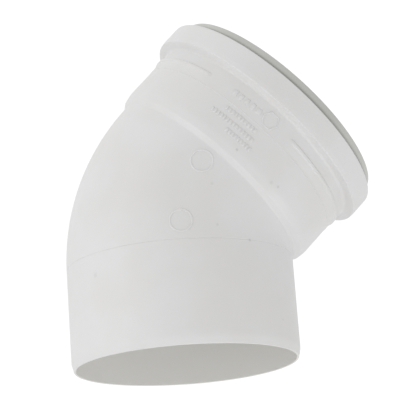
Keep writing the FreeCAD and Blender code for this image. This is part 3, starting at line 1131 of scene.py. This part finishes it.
class ELBOW_OT_marks(bpy.types.Operator):
    """Builds the raised marks: mould circles, blank bars and a blank outline"""
    bl_idname = "elbow.marks"
    bl_label = "Raised Marks"

    def execute(self, context):
        settings = context.scene.elbow
        bend = settings.bend
        socket = settings.socket
        marks = settings.marks
        origin = socket_origin(bend)
        wall = socket.wall_radius
        bend_and_wrap = shape_trees()[:2]
        points, widths, depths = [], [], []
        for place, first, last, count, depth in BAR_ROWS:
            pitch = math.radians(last - first) * wall / count
            for index in range(count):
                around = math.radians(first) * wall + pitch * (index + 0.5)
                points.append((around, origin + place * MM, 0.0))
                widths.append(pitch * BAR_SHARE)
                depths.append(depth * MM)
        centre = (OUTLINE_TURN * wall, origin + OUTLINE_PLACE, 0.0)
        pieces = (
            ("Mould_Circles", seed_mesh("Circle Centres", CIRCLE_CENTRES, has_nub=[1.0, 0.0]),
             tree_named("Mould Circles", mould_circles),
             {"Wall Radius": bend.pipe_radius, "Line Radius": marks.circle_radius,
              "Line Width": marks.circle_line, "Line Height": marks.circle_height}),
            ("Blank_Bars", seed_mesh("Bar Places", points, bar_width=widths, bar_depth=depths),
             tree_named("Raised Bars", raised_bars, *bend_and_wrap),
             {"Wall Radius": wall, "Height": marks.bar_height, "Sunk": marks.bar_sunk,
              "Seed": marks.seed}),
            ("Blank_Outline", seed_mesh("Outline Centre", [centre]),
             tree_named("Raised Outline", raised_outline, *bend_and_wrap),
             {"Wall Radius": wall, **OUTLINE, "Line Height": marks.bar_height}),
        )
        for name, seed, tree, values in pieces:
            piece = grow(name, seed, tree, {
                **bend_settings(bend), **values, "Finish": body_material(settings)})
            mount(piece, "white_pvc")
        return {"FINISHED"}


class ELBOW_OT_studio(bpy.types.Operator):
    """Builds the pale floor, the plain backdrop, the soft lights and the camera"""
    bl_idname = "elbow.studio"
    bl_label = "Studio"

    def execute(self, context):
        studio = context.scene.elbow.studio
        make_floor(studio)
        make_backdrop(context.scene, studio)
        for name, direction, size in LAMPS:
            place = Vector(direction).normalized() * LAMP_DISTANCE
            make_light(name, getattr(studio, name), place, size)
        make_camera(context.scene)
        context.scene.view_settings.view_transform = "Standard"
        return {"FINISHED"}


def make_floor(studio):
    """A pale floor just under the spigot, which hides nothing from a low camera."""
    mesh = bpy.data.meshes.new("Floor")
    level = CAD_BOX[0].z - FLOOR_GAP
    corners = [(x * FLOOR_REACH, y * FLOOR_REACH, level) for x, y in ((-1, -1), (1, -1), (1, 1), (-1, 1))]
    mesh.from_pydata(corners, [], [(0, 1, 2, 3)])
    floor = bpy.data.objects.new("Floor", mesh)
    bpy.context.scene.collection.objects.link(floor)
    paint = Paint(bpy.data.materials.new("Pale Floor"), Roughness=0.9)
    cloud = paint.add("ShaderNodeTexNoise", {
        "Vector": paint.coordinate("Object"), "Scale": 3.0, "Detail": 2.0})["Fac"]
    darker = [value * FLOOR_SHADE for value in studio.floor_colour]
    paint.feed(paint.shader.inputs["Base Color"], paint.mix(cloud, studio.floor_colour, darker))
    lit = Value(paint, paint.shader.outputs[0])
    sides = paint.add("ShaderNodeMixShader", {
        0: paint.add("ShaderNodeNewGeometry")["Backfacing"], 1: lit,
        2: paint.add("ShaderNodeBsdfTransparent")})
    paint.feed(paint.node("OUTPUT_MATERIAL").inputs["Surface"], sides)
    mesh.materials.append(paint.owner)
    floor.visible_diffuse = False
    floor.visible_glossy = False
    floor.visible_shadow = False


def make_backdrop(scene, studio):
    """A plain bright backdrop, and ambient light that grows towards one side."""
    world = bpy.data.worlds.new("Soft Room")
    scene.world = world
    paint = Paint(world, Color=(1.0, 1.0, 1.0, 1.0))
    slope = paint.add("ShaderNodeVectorMath", {
        0: paint.coordinate("Generated"), 1: tuple(studio.ambient_slope),
    }, operation="DOT_PRODUCT")["Value"]
    level = (slope + 1.0) * studio.ambient
    seen = paint.add("ShaderNodeLightPath")["Is Camera Ray"]
    paint.feed(paint.shader.inputs["Strength"], seen * (studio.backdrop - level) + level)


def make_light(setting, watts, place, size):
    """A square soft light that faces the elbow."""
    name = setting.title()
    lamp = bpy.data.lights.new(name, "AREA")
    lamp.energy = watts
    lamp.shape = "SQUARE"
    lamp.size = size
    light = bpy.data.objects.new(name, lamp)
    light.location = AIM + place
    light.rotation_euler = place.to_track_quat("Z", "Y").to_euler()
    bpy.context.scene.collection.objects.link(light)


def make_camera(scene):
    """A long-lens camera that looks slightly up at the elbow's front."""
    level = math.cos(CAMERA_ELEVATION)
    back = Vector((math.sin(CAMERA_AZIMUTH) * level, -math.cos(CAMERA_AZIMUTH) * level,
            math.sin(CAMERA_ELEVATION)))
    right = (-back).cross(Vector((0, 0, 1))).normalized()
    up = back.cross(right)
    turned_right = right * math.cos(CAMERA_ROLL) + up * math.sin(CAMERA_ROLL)
    turned_up = up * math.cos(CAMERA_ROLL) - right * math.sin(CAMERA_ROLL)
    lens = bpy.data.cameras.new("Camera")
    lens.lens = CAMERA_LENS
    lens.sensor_width = SENSOR_WIDTH
    camera = bpy.data.objects.new("Camera", lens)
    turn = Matrix((turned_right, turned_up, back)).transposed()
    camera.matrix_world = Matrix.Translation(AIM + back * CAMERA_DISTANCE) @ turn.to_4x4()
    scene.collection.objects.link(camera)
    scene.camera = camera


class ELBOW_PT_panel(bpy.types.Panel):
    """Lists the elbow's settings and its steps"""
    bl_idname = "ELBOW_PT_panel"
    bl_label = "Ring-Seal Elbow"
    bl_space_type = "VIEW_3D"
    bl_region_type = "UI"
    bl_category = "Elbow"

    def draw(self, context):
        settings = context.scene.elbow
        for name in ("bend", "socket", "seal", "marks", "finish", "studio"):
            group = getattr(settings, name)
            box = self.layout.box()
            box.label(text=name.title())
            for setting in type(group).__annotations__:
                box.prop(group, setting)
        for operator in OPERATORS:
            self.layout.operator(operator.bl_idname)


OPERATORS = (ELBOW_OT_moulding, ELBOW_OT_seal, ELBOW_OT_marks, ELBOW_OT_studio)
CLASSES = (BendSizes, SocketSizes, SealSizes, MarkSizes, Finish, Studio, ElbowSettings,
    *OPERATORS, ELBOW_PT_panel)


def register():
    """Adds the classes and the scene's settings."""
    for listed in CLASSES:
        bpy.utils.register_class(listed)
    bpy.types.Scene.elbow = PointerProperty(type=ElbowSettings)


def unregister():
    """Takes the settings and the classes away."""
    del bpy.types.Scene.elbow
    for listed in reversed(CLASSES):
        bpy.utils.unregister_class(listed)


def main():
    """Builds the elbow and its studio."""
    register()
    bpy.ops.elbow.moulding()
    bpy.ops.elbow.seal()
    bpy.ops.elbow.marks()
    bpy.ops.elbow.studio()


if __name__ == "__main__":
    main()
